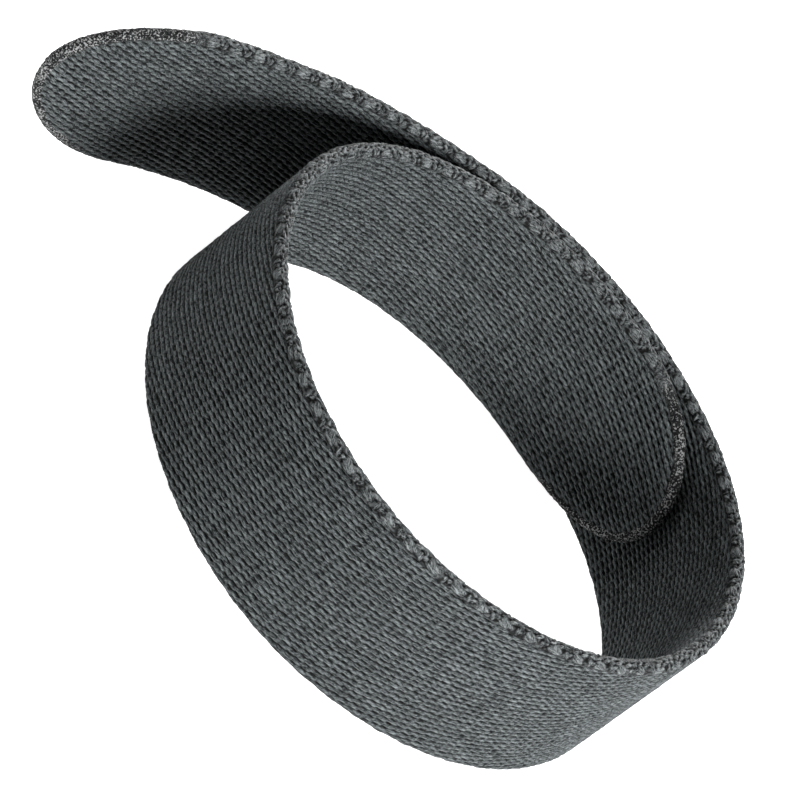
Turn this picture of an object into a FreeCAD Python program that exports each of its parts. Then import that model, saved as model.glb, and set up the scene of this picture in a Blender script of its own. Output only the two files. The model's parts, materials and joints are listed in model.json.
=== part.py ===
"""Woven ESD wrist strap, coiled one and a quarter turns and standing on its edge.

The band is one woven strip. Along its length it is divided into sixteen equal links, each an
arc with a turn of its own, and neighbouring links meet in a hinge across the band: the nose of
one link is a half round on the hinge's axis, and it sits in the socket of the next. Each link
has an outer ply, an inner ply and a pair of selvedges, and the two end links are rounded and
closed by a fused seal. A hook patch and a ground snap sit in the overlap of the two layers.

Frame: +Z across the band's width, with the lower selvedge on Z = 0 and the origin below the
centre of the whole strap. Link 1 holds the free outer end, link 16 the inner end.
"""

import FreeCAD, Part
import Sketcher
import math
import os

from FreeCAD import Placement, Rotation, Vector

# Millimetres, and degrees where the name says turn or heading.
DIMENSIONS = {
    "band_width": 20.0,
    "band_thickness": 1.5,
    "edge_width": 1.2,
    "link_length": 17.8,
    "hinge_clearance": 0.1,
    "outer_tip_length": 15.8,
    "inner_tip_length": 16.0,
    "start_x": -41.355,
    "start_y": -20.276,
    "start_heading": 50.0,
    "hook_length": 12.0,
    "hook_height": 14.0,
    "hook_thickness": 0.3,
    "washer_radius": 5.5,
    "washer_thickness": 0.4,
    "rivet_radius": 1.3,
    "rivet_head_radius": 4.0,
    "rivet_head_thickness": 0.25,
    "rivet_fit": 0.05,
    "stud_flange_radius": 5.0,
    "stud_flange_thickness": 0.5,
    "stud_neck_radius": 1.7,
    "stud_neck_height": 0.7,
    "stud_head_radius": 2.0,
    "stud_head_height": 1.4,
    "stud_crown": 0.4,
    "stud_bore_depth": 1.6,
}

# How far each link turns, from the outer end to the inner end; minus is clockwise from above.
TURNS = (18, -20, -11, -27, -32, -38, -33, -30, -30, -38, -35, -31, -37, -33, -33, -32)

SNAP_LINK = 5
HOOK_LINK = 15
# Plan offsets from the middle of the band, plus towards its outer face.
HALF = "Dimensions.band_thickness / 2"
OUTER_PLY = ("0", HALF)
INNER_PLY = ("-" + HALF, "0")
WHOLE = ("-" + HALF, HALF)
# Long enough for a cutting tool to pass right through the band.
THROUGH = 8.0

doc = FreeCAD.newDocument("esd_wrist_strap")
sheet = doc.addObject("Spreadsheet::Sheet", "Dimensions")
parts = []


def fill_sheet():
    rows = dict(DIMENSIONS)
    for number, turn in enumerate(TURNS, 1):
        rows[f"turn_{number:02d}"] = turn
    for row, (alias, value) in enumerate(rows.items(), 1):
        sheet.set(f"A{row}", alias)
        sheet.set(f"B{row}", str(value))
        sheet.setAlias(f"B{row}", alias)
    doc.recompute()


def dim(alias):
    return float(getattr(sheet, alias))


def direction(degrees):
    return Vector(math.cos(math.radians(degrees)), math.sin(math.radians(degrees)), 0)


class Link:
    """One arc of the band: where it starts, how it turns, and the names of its dimensions."""

    def __init__(self, number, start, heading):
        self.number = number
        self.turn = dim(f"turn_{number:02d}")
        self.heading = heading
        self.end_heading = heading + self.turn
        self.side = 1 if self.turn > 0 else -1
        self.radius = dim("link_length") / math.radians(abs(self.turn))
        self.turn_size = f"abs(Dimensions.turn_{number:02d})"
        self.radius_size = f"Dimensions.link_length * 180 / (pi * {self.turn_size})"
        self.start = start
        self.centre = start + direction(heading + 90) * self.side * self.radius
        self.end = self.centre - direction(self.end_heading + 90) * self.side * self.radius
        self.mid_heading = heading + self.turn / 2

    def sector_start(self):
        """The plan angle, about the centre, where the link's arc begins."""
        return min(self.heading, self.end_heading) - 90 * self.side

    def radii(self, offsets):
        low, high = offsets
        if self.side > 0:
            return f"{self.radius_size} - ({high})", f"{self.radius_size} - ({low})"
        return f"{self.radius_size} + ({low})", f"{self.radius_size} + ({high})"

    def middle(self):
        return self.centre - direction(self.mid_heading + 90) * self.side * self.radius


def make_links():
    links = []
    start = Vector(dim("start_x"), dim("start_y"), 0)
    heading = dim("start_heading")
    for number in range(1, len(TURNS) + 1):
        link = Link(number, start, heading)
        links.append(link)
        start, heading = link.end, link.end_heading
    return links


def about_z(point, z, degrees=0):
    return Placement(Vector(point.x, point.y, z), Rotation(Vector(0, 0, 1), degrees))


def cylinder(name, placement, radius, height, angle="360"):
    solid = doc.addObject("Part::Cylinder", name)
    solid.Placement = placement
    solid.setExpression("Radius", str(radius))
    solid.setExpression("Height", str(height))
    solid.setExpression("Angle", str(angle))
    return solid


def cut(name, base, tool):
    result = doc.addObject("Part::Cut", name)
    result.Base, result.Tool = base, tool
    return result


def common(name, base, tool):
    result = doc.addObject("Part::Common", name)
    result.Base, result.Tool = base, tool
    return result


def fuse(name, *shapes):
    result = doc.addObject("Part::MultiFuse", name)
    result.Shapes = list(shapes)
    return result


def keep(node, solid):
    solid.Label = node
    parts.append(solid)
    return solid


def arc_slab(name, link, offsets, z, height):
    """A curved slab along the whole link, between two offsets and from z up."""
    inner, outer = link.radii(offsets)
    place = about_z(link.centre, z, link.sector_start())
    blank = cylinder(name + "_disc", place, outer, height, link.turn_size)
    core = cylinder(name + "_core", place, inner, height)
    return cut(name + "_slab", blank, core)


def hinged_slab(name, link, offsets, z, height):
    """The slab with a round nose on its far end and a socket in its near end."""
    slab = arc_slab(name, link, offsets, z, height)
    if link.number < len(TURNS):
        low, high = offsets
        first = link.end_heading if low == "0" else link.end_heading - 90
        spread = "180" if offsets is WHOLE else "90"
        nose = cylinder(name + "_nose", about_z(link.end, z, first), HALF, height, spread)
        slab = fuse(name + "_nosed", slab, nose)
    if link.number > 1:
        reach = f"{HALF} + Dimensions.hinge_clearance"
        socket = cylinder(name + "_socket", about_z(link.start, z), reach, height)
        slab = cut(name + "_hinged", slab, socket)
    return slab


class Tip:
    """The outline of a rounded end: half an ellipse on the last part of an end link."""

    def __init__(self, link, length_alias):
        self.name = f"tip_{link.number:02d}"
        outward = -1 if link.number == 1 else 1
        self.along = direction(link.mid_heading) * outward
        up = Vector(0, 0, 1)
        self.rotation = Rotation(self.along, up, self.along.cross(up), "XYZ")
        self.length = f"Dimensions.{length_alias}"
        half_chord = link.radius * math.sin(math.radians(abs(link.turn) / 2))
        centre = link.middle() + self.along * (half_chord - dim(length_alias))
        self.centre = centre + up * (dim("band_width") / 2)

    def rounded(self, name, border):
        """A bar of elliptical section through the band, smaller all round by the border."""
        outline = doc.addObject("Part::Ellipse", f"{self.name}_{name}_outline")
        outline.Placement = Placement(self.centre, self.rotation)
        outline.setExpression("MajorRadius", f"{self.length} - ({border})")
        outline.setExpression("MinorRadius", f"Dimensions.band_width / 2 - ({border})")
        bar = doc.addObject("Part::Extrusion", f"{self.name}_{name}_bar")
        bar.Base = outline
        bar.DirMode = "Normal"
        bar.LengthFwd = 2 * THROUGH
        bar.Symmetric = True
        bar.Solid = True
        return bar

    def straight(self, name, border):
        """A box through the band behind the ellipse's centre, with the same border."""
        box = doc.addObject("Part::Box", f"{self.name}_{name}_box")
        box.setExpression("Length", "Dimensions.link_length")
        box.setExpression("Width", f"Dimensions.band_width - 2 * ({border})")
        box.Height = 2 * THROUGH
        inset = dim("edge_width") if border != "0" else 0
        corner = Vector(-dim("link_length"), inset - dim("band_width") / 2, -THROUGH)
        box.Placement = Placement(self.centre + self.rotation.multVec(corner), self.rotation)
        return box


def make_end_link(link, tip):
    border = "Dimensions.edge_width"
    inside = tip.rounded("inside", border)
    behind = tip.straight("inside", border)
    field = fuse(f"{tip.name}_field", inside, behind)
    for ply, offsets in (("outer_ply", OUTER_PLY), ("inner_ply", INNER_PLY)):
        node = f"{ply}_{link.number:02d}"
        slab = hinged_slab(node, link, offsets, 0, "Dimensions.band_width")
        keep(node, common(node, slab, field))
    whole_behind = tip.straight("whole", "0")
    node = f"selvedge_pair_{link.number:02d}"
    keep(node, common(node, selvedge_blank(node, link), whole_behind))
    node = "outer_end_seal" if link.number == 1 else "inner_end_seal"
    slab = arc_slab(node, link, WHOLE, 0, "Dimensions.band_width")
    rim = common(node + "_rim", slab, tip.rounded("whole", "0"))
    rim = cut(node + "_short", rim, whole_behind)
    keep(node, cut(node, rim, inside))


def selvedge_blank(name, link):
    """The woven edges of one link: one along the bottom of the band and one along the top."""
    height = "Dimensions.edge_width"
    top = dim("band_width") - dim("edge_width")
    pair = doc.addObject("Part::Compound", name + "_blank")
    pair.Links = [
        hinged_slab(name + "_lower", link, WHOLE, 0, height),
        hinged_slab(name + "_upper", link, WHOLE, top, height),
    ]
    return pair


def make_link(link):
    height = "Dimensions.band_width - 2 * Dimensions.edge_width"
    for ply, offsets in (("outer_ply", OUTER_PLY), ("inner_ply", INNER_PLY)):
        node = f"{ply}_{link.number:02d}"
        slab = hinged_slab(node, link, offsets, dim("edge_width"), height)
        if link.number == SNAP_LINK:
            slab = cut(node + "_holed", slab, rivet_hole(node, link))
        keep(node, slab)
    node = f"selvedge_pair_{link.number:02d}"
    keep(node, selvedge_blank(node, link))


def snap_placement(link, radius):
    """A frame on the snap's axis, this far from the link's centre, with Z out of the band."""
    outward = direction(link.mid_heading + 90)
    up = Vector(0, 0, 1)
    centre = link.centre + outward * radius + up * (dim("band_width") / 2)
    return Placement(centre, Rotation(outward.cross(up), up, outward, "ZYX"))


def rivet_hole(name, link):
    place = snap_placement(link, link.radius - THROUGH / 2)
    reach = "Dimensions.rivet_radius + Dimensions.rivet_fit"
    return cylinder(name + "_hole", place, reach, THROUGH)


def make_washer(link):
    """A disc with a flat outer side, whose other side is hollowed to sit on the curved band."""
    sunk = THROUGH / 4
    face = link.radius + dim("band_thickness") / 2
    place = snap_placement(link, face - sunk)
    height = f"{sunk} + Dimensions.washer_thickness"
    disc = cylinder("washer_disc", place, "Dimensions.washer_radius", height)
    face_size = f"{link.radius_size} + {HALF}"
    band = cylinder("washer_band", about_z(link.centre, 0), face_size, "Dimensions.band_width")
    seated = cut("washer_seated", disc, band)
    keep("snap_washer", cut("snap_washer", seated, rivet_hole("washer", link)))


def make_rivet(link):
    """A shank through both plies, with a thin head curved to lie on the inner face."""
    inner_face = f"{link.radius_size} - {HALF}"
    head_face = f"{inner_face} - Dimensions.rivet_head_thickness"
    place = about_z(link.centre, 0, link.sector_start())
    shell = cylinder("rivet_shell", place, inner_face, "Dimensions.band_width", link.turn_size)
    core = cylinder("rivet_core", place, head_face, "Dimensions.band_width")
    shell = cut("rivet_curve", shell, core)
    under = link.radius - dim("band_thickness") / 2
    sunk = THROUGH / 4
    disc_place = snap_placement(link, under - sunk)
    disc = cylinder("rivet_disc", disc_place, "Dimensions.rivet_head_radius", 2 * sunk)
    head = common("rivet_head", shell, disc)
    length = "Dimensions.band_thickness + Dimensions.washer_thickness + Dimensions.stud_bore_depth"
    shank_place = snap_placement(link, under - dim("rivet_head_thickness") / 2)
    shank = cylinder("rivet_shank", shank_place, "Dimensions.rivet_radius", length)
    keep("snap_rivet", fuse("snap_rivet", head, shank))


def stud_profile():
    """Half of the stud's section, as radius and height pairs with the names of their sizes."""
    bore = "Dimensions.rivet_radius + Dimensions.rivet_fit"
    flange = "Dimensions.stud_flange_thickness"
    neck = f"{flange} + Dimensions.stud_neck_height"
    head = f"{neck} + Dimensions.stud_head_height"
    return (
        (bore, "0"),
        ("Dimensions.stud_flange_radius", "0"),
        ("Dimensions.stud_flange_radius", flange),
        ("Dimensions.stud_neck_radius", flange),
        ("Dimensions.stud_neck_radius", neck),
        ("Dimensions.stud_head_radius", neck),
        ("Dimensions.stud_head_radius", head),
        ("Dimensions.stud_head_radius - Dimensions.stud_crown", f"{head} + Dimensions.stud_crown"),
        ("0", f"{head} + Dimensions.stud_crown"),
        ("0", "Dimensions.stud_bore_depth"),
        (bore, "Dimensions.stud_bore_depth"),
    )


def evaluate(expression):
    """The value of a size expression, as the sheet has it now."""
    return float(sheet.evalExpression(expression))


def make_stud(link):
    body = doc.addObject("PartDesign::Body", "snap_stud")
    plane = next(f for f in body.Origin.OriginFeatures if f.Role == "XZ_Plane")
    sketch = body.newObject("Sketcher::SketchObject", "snap_stud_profile")
    sketch.AttachmentSupport = [(plane, "")]
    sketch.MapMode = "FlatFace"
    sizes = stud_profile()
    points = [Vector(evaluate(r), evaluate(z), 0) for r, z in sizes]
    for index, point in enumerate(points):
        sketch.addGeometry(Part.LineSegment(point, points[(index + 1) % len(points)]), False)
    for index, (radius, height) in enumerate(sizes):
        following = (index + 1) % len(sizes)
        sketch.addConstraint(Sketcher.Constraint("Coincident", index, 2, following, 1))
        for kind, size, value in (
            ("DistanceX", radius, points[index].x),
            ("DistanceY", height, points[index].y),
        ):
            number = sketch.addConstraint(Sketcher.Constraint(kind, -1, 1, index, 1, value))
            sketch.setExpression(f"Constraints[{number}]", size)
    turned = body.newObject("PartDesign::Revolution", "snap_stud_turned")
    turned.Profile = sketch
    turned.ReferenceAxis = (sketch, ["V_Axis"])
    turned.Angle = 360
    face = link.radius + dim("band_thickness") / 2 + dim("washer_thickness")
    body.Placement = snap_placement(link, face)
    keep("snap_stud", body)


def make_hook_patch(link):
    """A thin curved pad on the outer face, facing the inner face of the layer outside it."""
    face = f"{link.radius_size} + {HALF}"
    angle = f"Dimensions.hook_length * {link.turn_size} / Dimensions.link_length"
    margin = (1 - dim("hook_length") / dim("link_length")) / 2
    first = link.sector_start() + margin * abs(link.turn)
    base = (dim("band_width") - dim("hook_height")) / 2
    place = about_z(link.centre, base, first)
    outer = f"{face} + Dimensions.hook_thickness"
    pad = cylinder("hook_pad", place, outer, "Dimensions.hook_height", angle)
    core = cylinder("hook_core", place, face, "Dimensions.hook_height")
    keep("hook_patch", cut("hook_patch", pad, core))


def check_document():
    for item in doc.Objects:
        if "Invalid" in item.State or "Error" in item.State:
            raise RuntimeError(f"{item.Label} did not recompute: {item.State}")
    for part in parts:
        if part.Shape.isNull() or not part.Shape.isValid() or not part.Shape.Solids:
            raise RuntimeError(f"{part.Label} has no valid solid")


def write_parts():
    os.makedirs("parts", exist_ok=True)
    for part in parts:
        part.Shape.exportStep(f"parts/{part.Label}.step")


def report(links):
    whole = FreeCAD.BoundBox()
    for part in parts:
        whole.add(part.Shape.BoundBox)
        print(f"{part.Label:20s} solids {len(part.Shape.Solids)} volume {part.Shape.Volume:9.3f} mm3")
    print(f"box {whole.XMin:.3f}..{whole.XMax:.3f} {whole.YMin:.3f}..{whole.YMax:.3f}", end=" ")
    print(f"{whole.ZMin:.3f}..{whole.ZMax:.3f} centre {whole.Center.x:.3f} {whole.Center.y:.3f}")
    for link in links:
        print(f"link {link.number} starts {link.start.x:.4f} {link.start.y:.4f}", end=" ")
        print(f"heading {link.heading:.2f} radius {link.radius:.3f}")
    snap = snap_placement(links[SNAP_LINK - 1], links[SNAP_LINK - 1].radius)
    axis = snap.Rotation.multVec(Vector(0, 0, 1))
    print(f"snap axis {axis.x:.5f} {axis.y:.5f} from {snap.Base.x:.4f} {snap.Base.y:.4f}")


fill_sheet()
links = make_links()
make_end_link(links[0], Tip(links[0], "outer_tip_length"))
for link in links[1:-1]:
    make_link(link)
make_end_link(links[-1], Tip(links[-1], "inner_tip_length"))
make_hook_patch(links[HOOK_LINK - 1])
make_washer(links[SNAP_LINK - 1])
make_rivet(links[SNAP_LINK - 1])
make_stud(links[SNAP_LINK - 1])
doc.recompute()
check_document()
write_parts()
report(links)
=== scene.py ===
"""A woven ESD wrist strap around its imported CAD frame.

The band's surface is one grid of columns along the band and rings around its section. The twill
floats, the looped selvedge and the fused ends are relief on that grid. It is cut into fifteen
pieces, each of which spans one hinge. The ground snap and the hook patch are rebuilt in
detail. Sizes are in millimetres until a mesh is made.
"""

import json
import math
import random

import bpy
import numpy as np
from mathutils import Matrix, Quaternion, Vector


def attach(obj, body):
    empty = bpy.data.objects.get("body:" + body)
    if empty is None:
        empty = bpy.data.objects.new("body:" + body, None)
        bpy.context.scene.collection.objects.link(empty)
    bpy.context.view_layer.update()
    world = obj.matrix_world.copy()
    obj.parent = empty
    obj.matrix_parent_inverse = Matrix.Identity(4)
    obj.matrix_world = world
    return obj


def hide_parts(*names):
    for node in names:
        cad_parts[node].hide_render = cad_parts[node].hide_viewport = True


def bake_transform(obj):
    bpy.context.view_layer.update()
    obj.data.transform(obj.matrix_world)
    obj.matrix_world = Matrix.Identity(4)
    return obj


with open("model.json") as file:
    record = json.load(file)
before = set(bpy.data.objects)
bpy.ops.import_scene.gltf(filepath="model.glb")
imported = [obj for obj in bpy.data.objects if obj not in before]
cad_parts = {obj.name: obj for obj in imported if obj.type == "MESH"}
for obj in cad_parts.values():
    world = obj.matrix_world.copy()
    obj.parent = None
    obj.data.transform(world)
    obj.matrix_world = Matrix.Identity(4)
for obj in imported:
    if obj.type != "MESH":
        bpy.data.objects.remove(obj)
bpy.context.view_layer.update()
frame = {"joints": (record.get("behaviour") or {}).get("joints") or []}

MM = 0.001

# The band, as the CAD has it.
LINK_LENGTH = 17.8
TURNS = (18, -20, -11, -27, -32, -38, -33, -30, -30, -38, -35, -31, -37, -33, -33, -32)
START_HEADING = 50.0
BAND_LENGTH = LINK_LENGTH * len(TURNS)
BAND_WIDTH = 20.0
HALF_WIDTH = BAND_WIDTH / 2
HALF_THICK = 0.75
OUTER_TIP_LENGTH = 15.8
INNER_TIP_LENGTH = 16.0
FIRST_HINGE = "outer_tip_curl"

# The grid: the step from column to column, and the steps up each face and round each rim.
COLUMN_STEP = 0.13
FACE_ROWS = 244
RIM_ROWS = 30

# The twill: each float is a raised lens with blunt ends, and the floats of each pick lie about a
# third of their pitch lower than those of the pick before.
PICK_PITCH = 1.04
FLOAT_PITCH = 0.654
PICK_SHIFT = 0.211
FLOAT_HALF_LENGTH = 0.80
FLOAT_HALF_WIDTH = 0.252
FLOAT_TILT = 1.0
FLOAT_BLUNTNESS = 4
TWILL_DEPTH = 0.34
# How far the fibres of a yarn run across it for each unit along it.
TWIST = 0.28
# How flat the top of a yarn is: 0.5 is an ellipse, and less is flatter.
CROWN = 0.40
# How far apart two yarns' fibres are in the noise that draws them.
YARN_SPREAD = 40
# Random differences between floats: in swell, and in place along the band and up it.
FLOAT_SWELL = 0.16
FLOAT_JITTER = (0.12, 0.06)
# Slow bends of the weave: size and cell, along the band and up it.
WEAVE_WANDER = ((0.09, 1.7), (0.06, 2.3))
# How far the weave of the inner face is shifted from that of the outer one.
INNER_FACE_SHIFT = 0.5

# The looped selvedge of the upper edge: lobes of yarn, repeated every three picks. The lower edge
# is plain: the twill runs on around it.
LOOP_PITCH = 3 * PICK_PITCH
LOOP_DEPTH = 0.24
# Each lobe: along the band, around the edge from its crest, half length, half width, and tilt in
# degrees.
LOOPS = (
    (0.10, 0.62, 1.00, 0.34, -16.0),
    (0.25, 1.02, 0.98, 0.30, -8.0),
    (1.30, 0.80, 0.66, 0.24, 52.0),
    (1.74, 0.80, 0.66, 0.23, -66.0),
    (0.60, 0.22, 0.72, 0.22, 24.0),
    (1.55, 0.16, 0.66, 0.22, -28.0),
    (2.45, 0.24, 0.70, 0.22, 16.0),
    (0.20, -0.18, 0.66, 0.22, -20.0),
    (1.10, -0.24, 0.68, 0.22, 22.0),
    (2.20, -0.20, 0.70, 0.22, -14.0),
    (1.25, -0.62, 0.98, 0.33, 14.0),
    (1.40, -1.02, 0.95, 0.30, 8.0),
    (2.50, -0.80, 0.66, 0.24, -56.0),
    (2.94, -0.78, 0.64, 0.23, 62.0),
)
# Holes between the loops: along, around, and half their length and width.
HOLES = (
    (1.06, 0.96, 0.18, 0.14),
    (1.52, 1.04, 0.10, 0.30),
    (1.02, 0.42, 0.22, 0.12),
    (2.05, 0.46, 0.20, 0.12),
    (0.02, 0.24, 0.18, 0.10),
    (0.72, -0.06, 0.20, 0.10),
    (1.72, -0.08, 0.20, 0.10),
    (2.66, -0.02, 0.20, 0.10),
    (0.12, -0.48, 0.22, 0.12),
    (2.12, -0.50, 0.20, 0.12),
    (2.72, -1.02, 0.10, 0.28),
    (2.24, -0.94, 0.16, 0.13),
)
HOLE_DEPTH = 0.9
# Random differences between repeats: in swell, and in place along and around the edge.
LOOP_SWELL = 0.36
LOOP_JITTER = 0.24
HOLE_JITTER = (0.30, 0.16)
# Slow bends of the loops: size and cell, along and around the edge.
LOOP_WANDER = ((0.16, 1.3), (0.10, 0.9))
# The tangle of thread under the loops: its level, its unevenness and its cell.
TANGLE_LEVEL = 0.42
TANGLE_RELIEF = 0.32
TANGLE_CELL = 0.24
# The depths inside the outline between which the loops give way to the twill, and the size and
# cell of the raggedness of that line.
LOOP_FADE = (0.16, 0.34)
LOOP_RAGGED = (0.12, 0.7)

# The relief. Levels are shares of a full yarn, and a datum is the level on the CAD's surface.
TWILL_DATUM = 0.9
LOOP_DATUM = 0.62
# How far the fibres stand out of the twill and out of the loops.
TWILL_STRANDS = 0.10
LOOP_STRANDS = 0.16
STRAND_CELL = 0.13
STRAND_STRETCH = 3.5
# The level at which a gap between yarns begins, and how much lower it is painted black as painted
# shade.
TWILL_PIT_SHADE = (0.88, 0.40)
LOOP_PIT_SHADE = (0.78, 0.34)
# The inner face is smoother in a strip along its edges, and so is the crest of the lower edge:
# the level it is drawn to, how much, and where that fades out.
STRIP_LEVEL = 0.85
STRIP_SHARE = 0.45
STRIP_FADE = (0.9, 1.4)
CREST_LEVEL = 0.8
CREST_FADE = (0.1, 0.5)

# The heat-fused rim of the rounded ends: its width, the share of that which is fully fused, the
# size and cell of its ragged edge, and where it fades out, in lengths of the rounded end.
FUSED_WIDTH = 0.20
FUSED_START = 0.3
FUSED_RAGGED = (0.12, 0.8)
FUSED_FADE = (0.62, 0.92)
# Its grit has coarse and fine lumps. It stands a little proud, and little of the weave is left.
FUSED_ROUGHNESS = 0.06
FUSED_PROUD = 0.02
FUSED_SMOOTHING = 0.85
FINE_GRIT_CELL = 0.2
COARSE_GRIT_CELL = 0.45
COARSE_GRIT = 0.6
# How deep the valleys between the lumps have to be to be painted black as painted shade.
GRIT_SHADE_SPAN = 0.9
# The share of its thickness that the rim loses where it is fused, and how far in that reaches.
PRESSED = 0.25
PRESSED_REACH = 1.3

# How far the free outer end leans out: most at its upper edge, and fading out along the band.
LEAN = 1.3
LEAN_AT_FOOT = 0.35
LEAN_FADE = (12.0, 27.0)

SNAP_LINK = 5
HOOK_LINK = 15

# The multipliers and the bit shifts of a usual integer hash.
HASH_FACTORS = (73856093, 19349663, 83492791)
HASH_ROUNDS = ((13, 1274126177), (16, 2246822519))


def hashed(column, row, seed):
    """A repeatable random value from 0 to 1 for each pair of whole numbers."""
    numbers = (column, row, seed)
    mixed = np.zeros(np.broadcast(*numbers).shape, np.uint64)
    for number, factor in zip(numbers, HASH_FACTORS):
        whole = np.asarray(number).astype(np.int64).astype(np.uint64)
        mixed = mixed ^ (whole * np.uint64(factor))
    for shift, factor in HASH_ROUNDS:
        mixed = (mixed ^ (mixed >> np.uint64(shift))) * np.uint64(factor)
    return ((mixed >> np.uint64(12)) & np.uint64(0xFFFF)).astype(float) / 0xFFFF


def jitter(size, column, row, seed):
    """A repeatable random step, of up to half this size either way."""
    return size * (hashed(column, row, seed) - 0.5)


def smoothstep(value, low, high):
    """0 up to low and 1 from high on, with a smooth rise between them."""
    share = np.clip((value - low) / (high - low), 0, 1)
    return share * share * (3 - 2 * share)


def noise(x, y, cell, seed):
    """Smooth value noise from -1 to 1 over a plane, with cells of this size."""
    x, y = x / cell, y / cell
    column, row = np.floor(x), np.floor(y)
    across = smoothstep(x - column, 0, 1)
    up = smoothstep(y - row, 0, 1)
    low = hashed(column, row, seed) * (1 - across) + hashed(column + 1, row, seed) * across
    high = hashed(column, row + 1, seed) * (1 - across) + hashed(column + 1, row + 1, seed) * across
    return 2 * (low * (1 - up) + high * up) - 1


class Centreline:
    """The middle line of the band in plan, as tangent arcs from the outer end to the inner end."""

    def __init__(self):
        hinge = next(j for j in frame["joints"] if j["name"] == FIRST_HINGE)["pos_m"]
        curves = np.radians(TURNS) / LINK_LENGTH
        headings = math.radians(START_HEADING) + np.cumsum(np.radians((0,) + TURNS[:-1]))
        after = headings + curves * LINK_LENGTH
        steps_x = (np.sin(after) - np.sin(headings)) / curves
        steps_y = -(np.cos(after) - np.cos(headings)) / curves
        starts_x = np.concatenate([[0], np.cumsum(steps_x)[:-1]])
        starts_y = np.concatenate([[0], np.cumsum(steps_y)[:-1]])
        self.curves = curves
        self.headings = headings
        self.starts_x = starts_x + hinge[0] / MM - starts_x[1]
        self.starts_y = starts_y + hinge[1] / MM - starts_y[1]

    def at(self, along):
        """Plan x, plan y and heading at distances along the band."""
        link = np.clip(along // LINK_LENGTH, 0, len(TURNS) - 1).astype(int)
        heading = self.headings[link] + self.curves[link] * (along - link * LINK_LENGTH)
        curve, before = self.curves[link], self.headings[link]
        x = self.starts_x[link] + (np.sin(heading) - np.sin(before)) / curve
        y = self.starts_y[link] - (np.cos(heading) - np.cos(before)) / curve
        return x, y, heading

    def place(self, along, offset, height):
        """Points at distances along the band, off its middle (plus is outward) and up from z 0."""
        x, y, heading = self.at(along)
        return np.stack([x - np.sin(heading) * offset, y + np.cos(heading) * offset, height], -1)


centreline = Centreline()


def middle_of(link):
    """How far along the band the middle of a link is."""
    return (link - 0.5) * LINK_LENGTH


# ---------------------------------------------------------------- the grid of the band's surface


def tip_columns(length, count):
    """Columns over a rounded end: distance from the tip, half height, and outline direction."""
    long_axis = length - HALF_THICK
    short_axis = HALF_WIDTH - HALF_THICK
    angle = np.linspace(0, math.pi / 2, count + 1)
    from_tip = length - long_axis * np.cos(angle)
    half_height = short_axis * np.sin(angle)
    outward = np.stack([-np.cos(angle) / long_axis, np.sin(angle) / short_axis])
    outward = outward / np.linalg.norm(outward, axis=0)
    return from_tip, half_height, outward[0], outward[1]


def make_columns():
    """Every column of the grid: along, half height, outline direction, and which are seams."""
    tip_count = round(math.pi / 2 * (OUTER_TIP_LENGTH + HALF_WIDTH) / 2 / COLUMN_STEP)
    parts = [np.stack(tip_columns(OUTER_TIP_LENGTH, tip_count))]
    stops = [OUTER_TIP_LENGTH] + [middle_of(link) for link in range(2, len(TURNS))]
    stops = stops + [BAND_LENGTH - INNER_TIP_LENGTH]
    seams = []
    for start, stop in zip(stops, stops[1:]):
        count = round((stop - start) / COLUMN_STEP)
        along = np.linspace(start, stop, count + 1)[1:]
        half_height = np.full(count, HALF_WIDTH - HALF_THICK)
        parts.append(np.stack([along, half_height, np.zeros(count), np.ones(count)]))
        seams.append(sum(part.shape[1] for part in parts) - 1)
    from_tip, half_height, ahead, upward = tip_columns(INNER_TIP_LENGTH, tip_count)
    inner = np.stack([BAND_LENGTH - from_tip, half_height, -ahead, upward])
    parts.append(inner[:, ::-1][:, 1:])
    columns = np.concatenate(parts, axis=1)
    return columns, [0] + seams[:-1] + [columns.shape[1] - 1]


def make_ring():
    """One ring of the section: share of half height, offset direction, and outline direction."""
    up = np.linspace(-1, 1, FACE_ROWS + 1)
    turn = np.linspace(0, math.pi, RIM_ROWS + 1)[1:-1]
    share = np.concatenate([up, np.ones(len(turn)), up[::-1], -np.ones(len(turn))])
    sideways = np.concatenate(
        [np.ones(len(up)), np.cos(turn), -np.ones(len(up)), -np.cos(turn)]
    )
    edgeways = np.concatenate([np.zeros(len(up)), np.sin(turn), np.zeros(len(up)), np.sin(turn)])
    return share, sideways, edgeways


def depth_inside(height, from_end, tip_length):
    """How far inside the rounded outline of an end a point of a face is."""
    long_axis = tip_length - HALF_THICK
    short_axis = HALF_WIDTH - HALF_THICK
    x = np.minimum(from_end - tip_length, 0) / long_axis
    y = height / short_axis
    radius = np.maximum(np.hypot(x, y), 1e-6)
    slope = np.hypot(x / long_axis, y / short_axis) / radius
    return (1 - radius) / np.maximum(slope, 1e-6)


class Yarns:
    """The topmost of many yarns at each point: its height, its tone and the run of its fibres."""

    def __init__(self, shape):
        self.height = np.zeros(shape)
        self.tone = np.zeros(shape)
        self.fibre = np.zeros(shape + (3,))

    def lay(self, x, y, half_length, half_width, tilt, swell, tone, bluntness=2):
        """Adds raised lenses, x and y from their middles. More bluntness makes squarer ends."""
        cosine, sine = math.cos(math.radians(tilt)), math.sin(math.radians(tilt))
        along = x * cosine + y * sine
        across = y * cosine - x * sine
        cap = 1 - np.abs(along / half_length) ** bluntness - (across / half_width) ** 2
        cap = swell * np.clip(cap, 0, None) ** CROWN
        higher = cap > self.height
        self.height = np.where(higher, cap, self.height)
        self.tone = np.where(higher, tone, self.tone)
        fibre = np.stack([along, across + TWIST * along, YARN_SPREAD * tone], -1)
        self.fibre = np.where(higher[..., None], fibre, self.fibre)


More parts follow.
